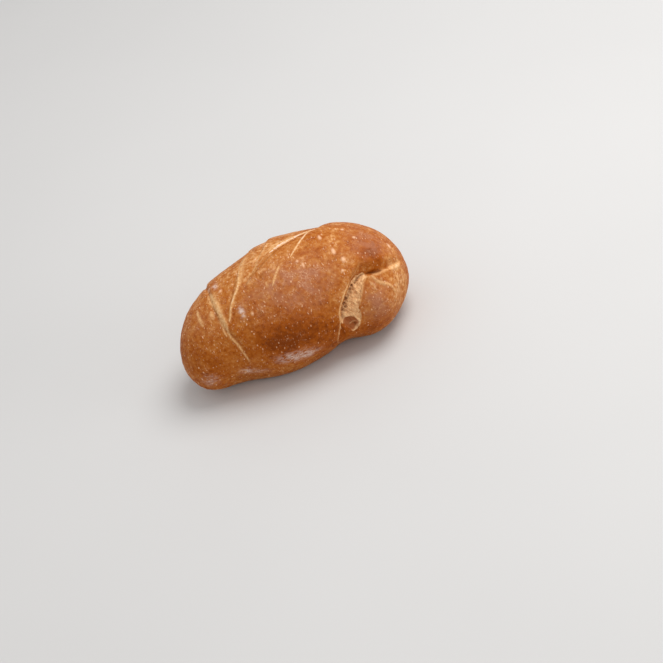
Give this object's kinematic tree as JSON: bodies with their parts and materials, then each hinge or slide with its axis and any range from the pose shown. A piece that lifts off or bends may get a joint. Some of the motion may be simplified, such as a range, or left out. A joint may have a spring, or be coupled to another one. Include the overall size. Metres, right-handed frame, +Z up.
{
  "type": "hot dog bun",
  "caption": "Plump unsliced bread roll with a flat base, rolled-up layers that show as low steps round it, a lip over a knob at one end, and a tear in the crust beside the knob.",
  "frame": {"origin": "middle of the bounding box's bottom face, on the flat base", "axes": "+X along the roll towards the end with the knob, -Y towards the front with the tear, +Z up"},
  "size_m": [0.139, 0.0726, 0.0676],
  "materials": {
    "crust": "baked brown crust, satin"
  },
  "bodies": {
    "root": {"bun": "crust"}
  },
  "joints": []
}
